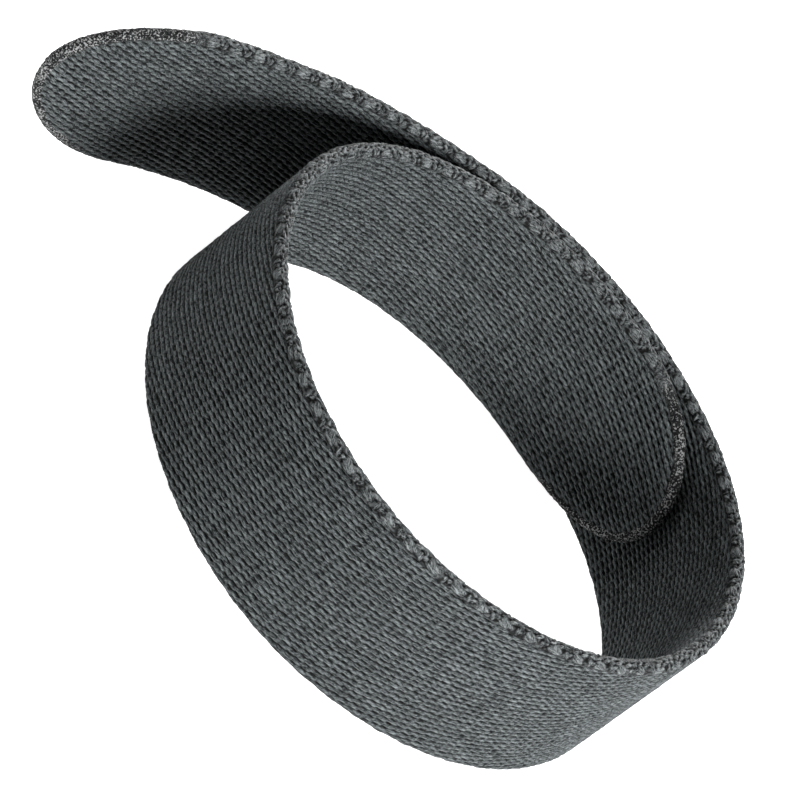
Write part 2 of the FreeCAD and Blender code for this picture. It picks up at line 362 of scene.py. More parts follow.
def twill(along, height, side):
    """The floats of a woven face."""
    yarns = Yarns(along.shape)
    (size_along, cell_along), (size_up, cell_up) = WEAVE_WANDER
    along = along + size_along * noise(along, height, cell_along, 11 + side)
    along = along + INNER_FACE_SHIFT * side
    height = height + size_up * noise(along, height, cell_up, 17 + side)
    pick = np.round(along / PICK_PITCH)
    for pick_step in (-1, 0, 1):
        column = pick + pick_step
        lifted = height + PICK_SHIFT * column
        row = np.round(lifted / FLOAT_PITCH)
        for row_step in (-1, 0, 1):
            yarn = row + row_step
            yarns.lay(
                along - PICK_PITCH * column + jitter(FLOAT_JITTER[0], column, yarn, 7 + side),
                lifted - FLOAT_PITCH * yarn + jitter(FLOAT_JITTER[1], column, yarn, 9 + side),
                FLOAT_HALF_LENGTH,
                FLOAT_HALF_WIDTH,
                FLOAT_TILT,
                swell=1 + jitter(FLOAT_SWELL, column, yarn, 5 + side),
                tone=hashed(column, yarn, 29 + side),
                bluntness=FLOAT_BLUNTNESS,
            )
    return yarns


def selvedge(along, around):
    """The loops of the upper edge, with the holes between them."""
    yarns = Yarns(along.shape)
    (size_along, cell_along), (size_around, cell_around) = LOOP_WANDER
    along = along + size_along * noise(along, around, cell_along, 41)
    around = around + size_around * noise(along, around, cell_around, 43)
    repeat = np.floor(along / LOOP_PITCH)
    for number, (start, crest, half_length, half_width, tilt) in enumerate(LOOPS):
        for step in (-1, 0, 1):
            unit = repeat + step
            x = along - LOOP_PITCH * unit - start - jitter(LOOP_JITTER, unit, number, 61)
            swell = 1 + jitter(LOOP_SWELL, unit, number, 67)
            tone = hashed(unit, number, 71)
            yarns.lay(x, around - crest, half_length, half_width, tilt, swell, tone)
    tangle = TANGLE_LEVEL + TANGLE_RELIEF * noise(along, around, TANGLE_CELL, 47)
    yarns.height = np.maximum(yarns.height, tangle)
    for number, (start, crest, half_length, half_width) in enumerate(HOLES):
        for step in (-1, 0, 1):
            unit = repeat + step
            x = along - LOOP_PITCH * unit - start - jitter(HOLE_JITTER[0], unit, number, 73)
            y = around - crest - jitter(HOLE_JITTER[1], unit, number, 79)
            inside = (x / half_length) ** 2 + (y / half_width) ** 2
            yarns.height = yarns.height * (1 - HOLE_DEPTH * np.exp(-inside * inside))
    return yarns


def strands(yarns):
    """The fibres' own relief, from -1 to 1, where there is a yarn."""
    along, across, shift = np.moveaxis(yarns.fibre, -1, 0)
    relief = noise(along / STRAND_STRETCH + shift, across, STRAND_CELL, 101)
    return np.where(yarns.height > 0, relief, 0)


def blended(share, first, second, where):
    """The first field in the given share, and the second in the rest where it was worked out."""
    if first.ndim > share.ndim:
        share = share[..., None]
    mixed = share * first
    mixed[where] += (1 - share[where]) * second
    return mixed


def lean(along, height):
    """How far the outer end stands out from its CAD line, most at its upper edge."""
    risen = (height + HALF_WIDTH) / BAND_WIDTH
    share = LEAN_AT_FOOT + (1 - LEAN_AT_FOOT) * risen
    return LEAN * (1 - smoothstep(along, *LEAN_FADE)) * share


def inside_outline(along, height):
    """How far inside the outline of the band a point of a face is, if it is near an end."""
    from_start = depth_inside(height, along, OUTER_TIP_LENGTH)
    from_finish = depth_inside(height, BAND_LENGTH - along, INNER_TIP_LENGTH)
    return np.maximum(np.minimum(from_start, from_finish), 0)


class Grid:
    """The band's surface before its relief, as columns along it by points of a ring."""

    def __init__(self, columns):
        share, sideways, edgeways = make_ring()
        middle, half_height, ahead, upward = (row[:, None] for row in columns)
        sign = np.where(share < 0, -1.0, 1.0)
        reach = HALF_THICK * edgeways
        slant = np.arcsin(np.clip(sideways, -1, 1))
        # Where a point is: along the band, up from its middle line, and off its middle.
        self.along = middle + reach * ahead
        self.height = share * half_height + sign * reach * upward
        self.offset = HALF_THICK * sideways * np.ones_like(middle)
        # Which way its surface faces.
        self.sideways = sideways
        self.edgeways = edgeways
        self.ahead = ahead
        self.upward = upward
        self.sign = sign
        # Which part of the surface it is on: the lower half, and 1 for the inner face.
        self.lower = share < 0
        self.side = np.where(sideways < 0, 1, 0) * np.ones_like(middle, int)
        # How far in from the outline it is, and its distance over the surface from the crest of
        # the edge, and from the band's middle line.
        self.depth = np.where(edgeways == 0, inside_outline(self.along, self.height), 0)
        from_crest = np.where(sideways < 0, -self.depth, self.depth)
        self.around = slant * HALF_THICK + from_crest
        round_rim = (math.pi / 2 - np.abs(slant)) * HALF_THICK
        self.wrapped = share * half_height + sign * round_rim

    def raised(self, relief, offset):
        """The points in space, with this relief and at this distance off the band's middle."""
        lift = relief * self.edgeways
        return centreline.place(
            self.along + lift * self.ahead,
            offset + relief * self.sideways,
            HALF_WIDTH + self.height + self.sign * lift * self.upward,
        )


def end_share(along):
    """1 at the rounded ends of the band, and 0 on the rest of it."""
    curved = np.minimum(along / OUTER_TIP_LENGTH, (BAND_LENGTH - along) / INNER_TIP_LENGTH)
    return 1 - smoothstep(curved, *FUSED_FADE)


def fused_share(grid, at_end):
    """1 on the heat-fused rim, and 0 inside it."""
    size, cell = FUSED_RAGGED
    ragged = size * noise(grid.along, grid.height, cell, 83)
    fade = smoothstep(grid.depth + ragged, FUSED_START * FUSED_WIDTH, FUSED_WIDTH)
    return at_end * (1 - fade)


def woven_share(grid):
    """1 where the twill shows, and 0 on the loops of the upper edge."""
    size, cell = LOOP_RAGGED
    ragged = size * noise(grid.along, grid.height, cell, 53)
    rim = 1 - smoothstep(grid.depth + ragged, *LOOP_FADE)
    return np.where(grid.lower, 1, 1 - rim)


def twill_level(grid, weave):
    """The level of the twill, smoother along the inner face's edges and the lower crest."""
    strip = grid.side * (1 - smoothstep(grid.depth, *STRIP_FADE))
    level = weave.height + STRIP_SHARE * strip * (STRIP_LEVEL - weave.height)
    crest = grid.lower * (1 - smoothstep(np.abs(grid.around), *CREST_FADE))
    level = level + crest * (CREST_LEVEL - level)
    return level + TWILL_STRANDS * strands(weave)


def grit(grid):
    """The lumps of the fused rim, fine and coarse."""
    fine = noise(grid.along + grid.offset, grid.height, FINE_GRIT_CELL, 91)
    coarse = noise(grid.along, grid.height + grid.offset, COARSE_GRIT_CELL, 97)
    return fine + COARSE_GRIT * coarse


def pit_shade_amount(level, start, span):
    """How deep in a gap between yarns a point is, from 0 to 1, which sets how much painted shade it
    gets.
    """
    return smoothstep(start - level, 0, span)


def make_surface():
    """The whole band: points, normals, and what the material reads, as columns by ring."""
    columns, seams = make_columns()
    grid = Grid(columns)
    weave = twill(grid.along, grid.wrapped, grid.side)
    twilled = woven_share(grid)
    near_loops = twilled < 1
    loops = selvedge(grid.along[near_loops], grid.around[near_loops])
    at_end = end_share(grid.along)
    fused = fused_share(grid, at_end)
    lumps = grit(grid)

    def joined(first, second):
        return blended(twilled, first, second, near_loops)

    woven = twill_level(grid, weave)
    looped = loops.height + LOOP_STRANDS * strands(loops)
    relief = joined(TWILL_DEPTH * (woven - TWILL_DATUM), LOOP_DEPTH * (looped - LOOP_DATUM))
    relief = relief * (1 - FUSED_SMOOTHING * fused)
    relief = relief + fused * (FUSED_ROUGHNESS * lumps + FUSED_PROUD)
    # Painted shade: the gaps between yarns and the valleys between the grit's lumps are darkened in
    # colour.
    pit_shade = joined(pit_shade_amount(woven, *TWILL_PIT_SHADE), pit_shade_amount(looped, *LOOP_PIT_SHADE))
    pit_shade = pit_shade * (1 - fused) + fused * smoothstep(-lumps, 0.0, GRIT_SHADE_SPAN)

    pressed = at_end * (1 - smoothstep(grid.depth, 0.0, PRESSED_REACH))
    offset = grid.offset * (1 - PRESSED * pressed) + lean(grid.along, grid.height)
    points = grid.raised(relief, offset)
    return {
        "points": points,
        "normals": surface_normals(points),
        "place": np.stack(np.broadcast_arrays(grid.along, grid.height, offset), -1),
        "fibre": blended(twilled.round(), weave.fibre, loops.fibre, near_loops),
        "pit_shade": pit_shade,
        "tone": joined(weave.tone, loops.tone),
        "fused": fused,
        "loops": 1 - twilled,
        "seams": seams,
    }


def surface_normals(points):
    """Smooth normals of the grid, the same on both sides of each seam."""
    around = np.roll(points, -1, axis=1) - np.roll(points, 1, axis=1)
    along = np.gradient(points, axis=0)
    normals = np.cross(around, along)
    length = np.linalg.norm(normals, axis=-1, keepdims=True)
    return normals / np.maximum(length, 1e-9)


# ---------------------------------------------------------------- meshes


def new_object(name, points, faces, material):
    """A smooth mesh from points in millimetres.

    Along the band, up and outward make a left-handed frame, so the faces laid out in it look
    inward, and each is turned round here.
    """
    mesh = bpy.data.meshes.new(name)
    faces = [face[::-1] for face in faces]
    mesh.from_pydata((np.asarray(points, float) * MM).tolist(), [], faces)
    mesh.polygons.foreach_set("use_smooth", [True] * len(mesh.polygons))
    mesh.materials.append(material)
    mesh.update()
    piece = bpy.data.objects.new(name, mesh)
    bpy.context.scene.collection.objects.link(piece)
    return piece


def store(mesh, name, kind, values):
    """Keeps values of the mesh's points under a name that the material reads."""
    field = "vector" if kind == "FLOAT_VECTOR" else "value"
    attribute = mesh.attributes.new(name, kind, "POINT")
    attribute.data.foreach_set(field, np.asarray(values, np.float32).ravel())


def grid_faces(columns, ring):
    """Quads between neighbouring columns of closed rings."""
    column = np.arange(columns - 1)[:, None] * ring
    here = np.arange(ring)[None, :]
    following = (here + 1) % ring
    corners = (column + here, column + ring + here, column + ring + following, column + following)
    return np.stack(np.broadcast_arrays(*corners), -1).reshape(-1, 4)


def end_cap(first, ring, flip):
    """Closes a column: a ladder of quads between the faces, and one face across each rim."""
    rows = FACE_ROWS + 1
    outer = first + np.arange(rows)
    inner = first + rows + RIM_ROWS - 1 + np.arange(rows)[::-1]
    faces = [
        (int(outer[i]), int(outer[i + 1]), int(inner[i + 1]), int(inner[i]))
        for i in range(rows - 1)
    ]
    top = list(range(first + rows - 1, first + rows + RIM_ROWS))
    bottom = list(range(first + 2 * rows + RIM_ROWS - 2, first + ring)) + [first]
    faces += [tuple(top), tuple(bottom)]
    return [face[::-1] for face in faces] if flip else faces


WELD_DISTANCE = 1e-5


def welded(points, faces):
    """Joins points in the same place, which turns the quads at a tip into triangles."""
    keys = np.round(points / WELD_DISTANCE).astype(np.int64)
    _, first, same = np.unique(keys, axis=0, return_index=True, return_inverse=True)
    same = same.reshape(-1)
    kept = []
    for face in faces:
        corners = [int(same[corner]) for corner in face]
        corners = [c for i, c in enumerate(corners) if c != corners[i - 1]]
        if len(set(corners)) > 2:
            kept.append(tuple(corners))
    return first, kept


def make_strap_piece(name, surface, start, stop, material):
    """The band's surface from one seam column to the next, closed at its ends."""
    points = surface["points"][start:stop + 1]
    columns, ring = points.shape[:2]
    faces = grid_faces(columns, ring).tolist()
    if start > 0:
        faces += end_cap(0, ring, flip=False)
    if stop < len(surface["points"]) - 1:
        faces += end_cap((columns - 1) * ring, ring, flip=True)
    points = points.reshape(-1, 3)
    first = np.arange(len(points))
    if start == 0 or stop == len(surface["points"]) - 1:
        first, faces = welded(points, faces)
    piece = new_object(name, points[first], faces, material)

    def rows(key):
        values = surface[key][start:stop + 1]
        return values.reshape(columns * ring, -1)[first]

    for key in ("place", "fibre"):
        store(piece.data, key, "FLOAT_VECTOR", rows(key))
    for key in ("pit_shade", "tone", "fused", "loops"):
        store(piece.data, key, "FLOAT", rows(key))
    piece.data.normals_split_custom_set_from_vertices(rows("normals").tolist())
    return piece


def link_nodes(link):
    """The CAD nodes of a link's cloth."""
    nodes = [f"outer_ply_{link:02d}", f"inner_ply_{link:02d}", f"selvedge_pair_{link:02d}"]
    if link == 1:
        nodes.append("outer_end_seal")
    if link == len(TURNS):
        nodes.append("inner_end_seal")
    return nodes


def make_strap(material):
    """The fifteen pieces of webbing, each spanning the hinge between one link and the next."""
    surface = make_surface()
    seams = surface["seams"]
    for link in range(1, len(TURNS)):
        name = f"webbing_{link:02d}"
        piece = make_strap_piece(name, surface, seams[link - 1], seams[link], material)
        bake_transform(piece)
        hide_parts(*link_nodes(link), *link_nodes(link + 1))


# ---------------------------------------------------------------- snap and hook patch


def arc(x, y, radius, start, stop, count):
    """Points of a round edge or corner: radius and height in a profile, or x and y."""
    angles = np.radians(np.linspace(start, stop, count + 1))
    return [(x + radius * math.cos(a), y + radius * math.sin(a)) for a in angles]


def turned(profile, segments):
    """Points and faces of a closed profile turned about its axis."""
    profile = np.array(profile)
    angles = np.linspace(0, 2 * math.pi, segments, endpoint=False)
    x = np.cos(angles)[:, None] * profile[:, 0]
    y = np.sin(angles)[:, None] * profile[:, 0]
    z = np.broadcast_to(profile[:, 1], x.shape)
    ring = len(profile)
    faces = []
    for turn in range(segments):
        here, after = turn * ring, (turn + 1) % segments * ring
        for i in range(ring):
            j = (i + 1) % ring
            faces.append((here + i, after + i, after + j, here + j))
    return np.stack([x, y, z], -1).reshape(-1, 3), faces


def on_face(points, link, face, direction):
    """Local points (along the band, up, out of the face) wrapped on to a link's face."""
    along = middle_of(link) + points[:, 0]
    offset = face + direction * points[:, 2]
    return centreline.place(along, offset, HALF_WIDTH + points[:, 1])


def on_axis(points, link, face):
    """Local points placed rigidly on the axis through the middle of a link."""
    middle = middle_of(link)
    base = centreline.place(np.array([middle]), face, np.array([HALF_WIDTH]))[0]
    heading = float(centreline.at(np.array([middle]))[2][0])
    forward = np.array([math.cos(heading), math.sin(heading), 0])
    outward = np.array([-math.sin(heading), math.cos(heading), 0])
    upward = np.array([0, 0, 1])
    return base + points[:, :1] * forward + points[:, 1:2] * upward + points[:, 2:] * outward


# The snap. Its turned profiles are pairs of radius and height.
SNAP_SEGMENTS = 96
WASHER_THICK = 0.4


def add_turned(name, profile, place, material, flip=False):
    """A turned piece of the snap. A flip is for a piece whose axis points inward."""
    points, faces = turned(profile, SNAP_SEGMENTS)
    if flip:
        faces = [face[::-1] for face in faces]
    first, faces = welded(points, faces)
    return new_object(name, place(points[first]), faces, material)


def make_washer(material):
    """A moulded ring under the stud, with a raised bead round its edge."""
    profile = [(1.38, 0.02), (5.2, 0.02)]
    profile += arc(5.22, 0.24, 0.22, -60, 100, 8)
    profile += arc(4.65, 0.62, 0.30, 290, 250, 5)
    profile += [(3.9, WASHER_THICK), (2.4, WASHER_THICK - 0.03), (1.38, WASHER_THICK - 0.03)]
    piece = add_turned(
        "snap_washer_ring", profile, lambda p: on_face(p, SNAP_LINK, HALF_THICK, 1), material
    )
    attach(piece, f"band_{SNAP_LINK:02d}")
    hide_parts("snap_washer")


def make_stud(material):
    """The stud of the snap: a rolled flange, a neck and a bulged head with a dimpled crown."""
    profile = [(0.0, 0.35), (4.4, 0.35), (4.5, 0.0)]
    profile += arc(4.76, 0.26, 0.25, -90, 90, 10)
    profile += [(4.45, 0.44), (4.1, 0.36), (3.2, 0.36), (2.6, 0.44)]
    profile += arc(2.1, 0.9, 0.42, 270, 180, 6)
    profile += [(1.68, 1.2)]
    profile += arc(1.45, 1.85, 0.55, -50, 60, 9)
    profile += arc(1.05, 2.15, 0.72, 48, 88, 6)
    profile += [(0.85, 2.80), (0.62, 2.62), (0.35, 2.56), (0.0, 2.55)]
    piece = add_turned(
        "snap_stud_turned",
        profile,
        lambda p: on_axis(p, SNAP_LINK, HALF_THICK + WASHER_THICK),
        material,
    )
    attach(piece, f"band_{SNAP_LINK:02d}")
    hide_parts("snap_stud")


def make_rivet(material):
    """The rivet's head on the wrist side, embossed with a ring and dimpled in the middle."""
    profile = [(0.0, -0.1), (3.6, -0.1)]
    profile += arc(3.82, 0.08, 0.17, -90, 80, 8)
    profile += [(3.4, 0.20), (3.0, 0.17), (2.6, 0.19), (2.0, 0.25), (1.4, 0.24)]
    profile += [(1.1, 0.14), (0.7, 0.06), (0.0, 0.04)]
    piece = add_turned(
        "snap_rivet_head",
        profile,
        lambda p: on_face(p, SNAP_LINK, -HALF_THICK, -1),
        material,
        flip=True,
    )
    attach(piece, f"band_{SNAP_LINK:02d}")
    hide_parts("snap_rivet")


# The hook patch: its cloth, with rounded corners, and the hooks in rows.
HOOK_LENGTH = 12.0
HOOK_HEIGHT = 14.0
HOOK_CORNER = 1.6
HOOK_BASE = 0.12
# The cloth's section: share of its outline, and share of its thickness.
HOOK_CLOTH = (
    (0.0, 0.0),
    (0.35, 0.0),
    (0.7, 0.0),
    (0.985, 0.0),
    (1.0, 0.04),
    (1.0, 0.08),
    (0.985, 1.0),
    (0.96, 1.0),
    (0.7, 1.0),
    (0.35, 1.0),
    (0.0, 1.0),
)
HOOK_SPACING = 0.42
HOOK_JITTER = 0.05
HOOK_SEED = 4
# The hooks keep this far from the cloth's edges, and round its corners they keep within a reach
# of a point that is set in from both edges.
HOOK_MARGIN = 0.55
HOOK_INSET = 1.4
HOOK_REACH = 1.0
HOOK_RADIUS = 0.045
HOOK_RISE = 0.30
# The middle line of one hook, out and up, and which of its points are on its thinner end.
HOOK_PATH = ((0, 0.05), (0.0, 0.17), (0.035, 0.25), (0.10, HOOK_RISE), (0.17, 0.27), (0.20, 0.20))
HOOK_STEPS = len(HOOK_PATH) - 1
HOOK_THIN = (4, 5)
HOOK_TAPER = 0.75
HOOK_TOP = HOOK_RISE + HOOK_RADIUS * 0.6


def hook_base():
    """A thin cloth with rounded corners: its points and faces in the patch's own plane."""
    outline = []
    for corner_x, corner_y, start in ((1, 1, 0), (-1, 1, 90), (-1, -1, 180), (1, -1, 270)):
        centre_x = corner_x * (HOOK_LENGTH / 2 - HOOK_CORNER)
        centre_y = corner_y * (HOOK_HEIGHT / 2 - HOOK_CORNER)
        outline += arc(centre_x, centre_y, HOOK_CORNER, start, start + 90, 8)
    outline = np.array(outline)
    count = len(outline)
    points = np.concatenate([
        np.column_stack([outline * scale, np.full(count, lift * HOOK_BASE)])
        for scale, lift in HOOK_CLOTH
    ])
    faces = []
    for ring in range(len(HOOK_CLOTH) - 1):
        here, above = ring * count, (ring + 1) * count
        for i in range(count):
            j = (i + 1) % count
            faces.append((here + i, here + j, above + j, above + i))
    return points, faces


def hook_stem(x, y, way):
    """One hook: a thin square stem that rises from the cloth and bends over, 1 or -1 way."""
    points = []
    for step, (out, rise) in enumerate(HOOK_PATH):
        thick = HOOK_RADIUS * (HOOK_TAPER if step in HOOK_THIN else 1.0)
        before, after = HOOK_PATH[max(step - 1, 0)], HOOK_PATH[min(step + 1, HOOK_STEPS)]
        heading = math.atan2(after[1] - before[1], after[0] - before[0])
        for corner in range(4):
            angle = math.radians(45 + 90 * corner)
            across = thick * math.cos(angle)
            within = thick * math.sin(angle)
            shift_x = within * math.sin(heading)
            shift_z = -within * math.cos(heading)
            points.append((x + (out + shift_x) * way, y + across, min(rise + shift_z, HOOK_TOP)))
    faces = []
    for step in range(HOOK_STEPS):
        below, above = step * 4, step * 4 + 4
        for i in range(4):
            j = (i + 1) % 4
            faces.append((below + i, below + j, above + j, above + i))
    last = 4 * HOOK_STEPS
    faces.append((3, 2, 1, 0))
    faces.append((last, last + 1, last + 2, last + 3))
    return points, faces


def hook_places():
    """Where the hooks stand on the patch, and the row that each is in."""
    chooser = random.Random(HOOK_SEED)
    reach_x = HOOK_LENGTH / 2 - HOOK_MARGIN
    reach_y = HOOK_HEIGHT / 2 - HOOK_MARGIN
    places = []
    for row in range(int(2 * reach_y / HOOK_SPACING) + 1):
        for column in range(int(2 * reach_x / HOOK_SPACING) + 1):
            x = -reach_x + column * HOOK_SPACING + chooser.uniform(-HOOK_JITTER, HOOK_JITTER)
            y = -reach_y + row * HOOK_SPACING + chooser.uniform(-HOOK_JITTER, HOOK_JITTER)
            past_x = max(abs(x) - (HOOK_LENGTH / 2 - HOOK_INSET), 0)
            past_y = max(abs(y) - (HOOK_HEIGHT / 2 - HOOK_INSET), 0)
            if math.hypot(past_x, past_y) <= HOOK_REACH:
                places.append((x, y, row))
    return places


def make_hook_patch(base_material, hook_material):
    """The hook tape: its cloth, and its hooks, which bend over the other way in every other row."""
    points, faces = hook_base()
    first, faces = welded(points, faces)
    base = new_object(
        "hook_patch_cloth", on_face(points[first], HOOK_LINK, HALF_THICK, 1), faces, base_material
    )
    all_points, all_faces = [], []
    for x, y, row in hook_places():
        stem_points, stem_faces = hook_stem(x, y, 1 if row % 2 else -1)
        if row % 2 == 1:
            stem_faces = [face[::-1] for face in stem_faces]
        shift = len(all_points)
        all_points += stem_points
        all_faces += [tuple(corner + shift for corner in face) for face in stem_faces]
    hooks = new_object(
        "hook_patch_hooks",
        on_face(np.array(all_points), HOOK_LINK, HALF_THICK, 1),
        all_faces,
        hook_material,
    )
    for piece in (base, hooks):
        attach(piece, f"band_{HOOK_LINK:02d}")
        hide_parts("hook_patch")


# ---------------------------------------------------------------- materials


class Nodes:
    """A material's node tree, with short ways to add and join its nodes."""

    def __init__(self, name):
        self.material = bpy.data.materials.new(name)
        self.material.use_nodes = True
        self.tree = self.material.node_tree
        self.tree.nodes.clear()
        output = self.tree.nodes.new("ShaderNodeOutputMaterial")
        self.shader = self.tree.nodes.new("ShaderNodeBsdfPrincipled")
        self.tree.links.new(self.shader.outputs["BSDF"], output.inputs["Surface"])

    def put(self, node, socket, value):
        """Sets a socket: to another node's output, or to a plain value."""
        if isinstance(value, bpy.types.NodeSocket):
            self.tree.links.new(value, node.inputs[socket])
        else:
            node.inputs[socket].default_value = value

    def attribute(self, name, output="Fac"):
        node = self.tree.nodes.new("ShaderNodeAttribute")
        node.attribute_name = name
        return node.outputs[output]

    def math(self, operation, first, second, clamp=False):
        node = self.tree.nodes.new("ShaderNodeMath")
        node.operation = operation
        node.use_clamp = clamp
        self.put(node, 0, first)
        self.put(node, 1, second)
        return node.outputs[0]

    def scaled(self, vector, scale):
        node = self.tree.nodes.new("ShaderNodeVectorMath")
        node.operation = "MULTIPLY"
        self.put(node, 0, vector)
        node.inputs[1].default_value = scale
        return node.outputs[0]

    def noise(self, vector, scale, detail=2.0, roughness=0.5, distortion=0.0):
        node = self.tree.nodes.new("ShaderNodeTexNoise")
        self.put(node, "Vector", vector)
        node.inputs["Scale"].default_value = scale
        node.inputs["Detail"].default_value = detail
        node.inputs["Roughness"].default_value = roughness
        node.inputs["Distortion"].default_value = distortion
        return node.outputs["Fac"]

    def span(self, value, from_low, from_high, to_low, to_high):
        """A value carried from one range to another, and held at the ends of it."""
        node = self.tree.nodes.new("ShaderNodeMapRange")
        self.put(node, "Value", value)
        for socket, number in (
            ("From Min", from_low),
            ("From Max", from_high),
            ("To Min", to_low),
            ("To Max", to_high),
        ):
            node.inputs[socket].default_value = number
        return node.outputs["Result"]

    def mix(self, share, first, second):
        node = self.tree.nodes.new("ShaderNodeMix")
        node.data_type = "RGBA"
        self.put(node, "Factor", share)
        self.put(node, "A", first)
        self.put(node, "B", second)
        return node.outputs["Result"]

    def bump(self, height, distance, strength):
        node = self.tree.nodes.new("ShaderNodeBump")
        self.put(node, "Height", height)
        node.inputs["Distance"].default_value = distance
        node.inputs["Strength"].default_value = strength
        return node.outputs["Normal"]


YARN_DARK = (0.0070, 0.0084, 0.0088, 1)
# The light yarn colours are partly the fibres' own tone and partly painted fibre glints.
YARN_LIGHT = (0.130, 0.145, 0.148, 1)
LOOP_LIGHT = (0.168, 0.182, 0.185, 1)
# Painted shade for the gaps between yarns and between the fused rim's lumps.
PIT_SHADE_COLOUR = (0.0006, 0.0007, 0.0008, 1)
FUSED_DARK = (0.001, 0.001, 0.0012, 1)
FUSED_LIGHT = (0.22, 0.223, 0.224, 1)
METAL_LIGHT = (0.46, 0.46, 0.45, 1)
METAL_DARK = (0.30, 0.30, 0.31, 1)
WASHER_COLOURS = ((0.012, 0.012, 0.013, 1), (0.03, 0.03, 0.031, 1))
CLOTH_COLOURS = ((0.010, 0.011, 0.012, 1), (0.03, 0.032, 0.034, 1))
FILAMENT_COLOURS = ((0.014, 0.015, 0.016, 1), (0.04, 0.042, 0.045, 1))
# Scales of noise are per millimetre for the webbing, and per metre for the snap and the hooks.
# How the noise of the streaks and of the fine fibres is squeezed: along and across the fibres.
STREAK_SCALE = (1.8, 6.5, 1.0)
FIBRE_SCALE = (3.6, 11.0, 1.0)
# How the noise of the slow changes of tone is squeezed: along the band and up it.
CLOUD_SCALE = (0.16, 0.3, 1.0)
# The share of light yarn that the streaks make, partly fibre tone and partly painted glints, and
# how far the fine fibres, also partly painted glints, the tone of each float and the slow changes
# move it either way.
STREAK_GLINT_RANGE = (-0.04, 0.86)
FIBRE_GLINT_RANGE = 0.52
TONE_RANGE = 0.06
CLOUD_RANGE = 0.04
# The middle part of the noise nodes' output, which holds nearly all of it.
NOISE_LOW = 0.3
NOISE_HIGH = 0.7
# How much of the colour the painted shade of a pit, and the fused rim, take over.
PIT_SHADE_SHARE = 0.97
FUSED_SHARE = 0.92
# The threshold of the noise that makes a pale grain, and the slow changes that move it.
GRAIN_EDGE = (0.515, 0.55)
GRAIN_PATCHES = (-0.06, 0.015)


def yarn_colour(nodes, place, streaks_and_glints, fine):
    """Light and dark yarn: fibre streaks that are partly painted glints, a tone for each float,
    slow clouds and painted shade in the pits.
    """
    clouds = nodes.noise(nodes.scaled(place, CLOUD_SCALE), 1.0, 2.0)
    tone = nodes.span(nodes.attribute("tone"), 0.0, 1.0, -TONE_RANGE, TONE_RANGE)
    # The light share is partly fibre tone and partly painted fibre glints.
    light = nodes.span(streaks_and_glints, NOISE_LOW, NOISE_HIGH, *STREAK_GLINT_RANGE)
    light = nodes.math("ADD", light, tone)
    fine = nodes.span(fine, NOISE_LOW, NOISE_HIGH, -FIBRE_GLINT_RANGE, FIBRE_GLINT_RANGE)
    light = nodes.math("ADD", light, fine)
    clouds = nodes.span(clouds, NOISE_LOW, NOISE_HIGH, -CLOUD_RANGE, CLOUD_RANGE)
    light = nodes.math("ADD", light, clouds, clamp=True)
    bright = nodes.mix(nodes.attribute("loops"), YARN_LIGHT, LOOP_LIGHT)
    colour = nodes.mix(light, YARN_DARK, bright)
    # Painted shade: the deeper a point lies in a gap, the nearer its colour is to black.
    pit_shade = nodes.math("MULTIPLY", nodes.attribute("pit_shade"), PIT_SHADE_SHARE)
    return nodes.mix(pit_shade, colour, PIT_SHADE_COLOUR)


def fused_colour(nodes, place):
    """Pale grains on black, thicker in some patches than in others."""
    grains = nodes.noise(place, 5.0, 2.0, 0.6, 0.2)
    patches = nodes.span(nodes.noise(place, 0.3, 2.0), 0.35, 0.65, *GRAIN_PATCHES)
    grains = nodes.math("ADD", grains, patches)
    return nodes.mix(nodes.span(grains, *GRAIN_EDGE, 0.0, 1.0), FUSED_DARK, FUSED_LIGHT)


def webbing_material():
    """The webbing's yarns, and the speckled rim of its fused ends."""
    nodes = Nodes("woven_webbing")
    place = nodes.attribute("place", "Vector")
    fibre = nodes.attribute("fibre", "Vector")
    streaks_and_glints = nodes.noise(nodes.scaled(fibre, STREAK_SCALE), 1.0, 3.0, 0.6, 0.3)
    fine = nodes.noise(nodes.scaled(fibre, FIBRE_SCALE), 1.0, 2.0, 0.6)
    fused = nodes.math("MULTIPLY", nodes.attribute("fused"), FUSED_SHARE)
    yarn = yarn_colour(nodes, place, streaks_and_glints, fine)
    nodes.put(nodes.shader, "Base Color", nodes.mix(fused, yarn, fused_colour(nodes, place)))
    nodes.put(nodes.shader, "Roughness", nodes.span(streaks_and_glints, NOISE_LOW, NOISE_HIGH, 0.72, 0.5))
    height = nodes.math("ADD", streaks_and_glints, nodes.math("MULTIPLY", fine, 0.5))
    nodes.put(nodes.shader, "Normal", nodes.bump(height, 0.00012, 1.0))
    nodes.shader.inputs["Specular IOR Level"].default_value = 0.10
    return nodes.material


def metal_material():
    """Plated steel: fine grain, smudges and patches of dulled plating."""
    nodes = Nodes("plated_steel")
    coordinates = nodes.tree.nodes.new("ShaderNodeTexCoord").outputs["Object"]
    smudge = nodes.noise(coordinates, 380.0, 3.0, 0.6)
    grain = nodes.noise(nodes.scaled(coordinates, (1.0, 1.0, 4.0)), 2600.0, 2.0)
    dulled = nodes.span(smudge, 0.35, 0.7, 0.0, 1.0)
    nodes.put(nodes.shader, "Base Color", nodes.mix(dulled, METAL_LIGHT, METAL_DARK))
    nodes.put(nodes.shader, "Roughness", nodes.span(smudge, NOISE_LOW, NOISE_HIGH, 0.22, 0.42))
    nodes.put(nodes.shader, "Normal", nodes.bump(grain, 0.00001, 0.35))
    nodes.shader.inputs["Metallic"].default_value = 1.0
    return nodes.material


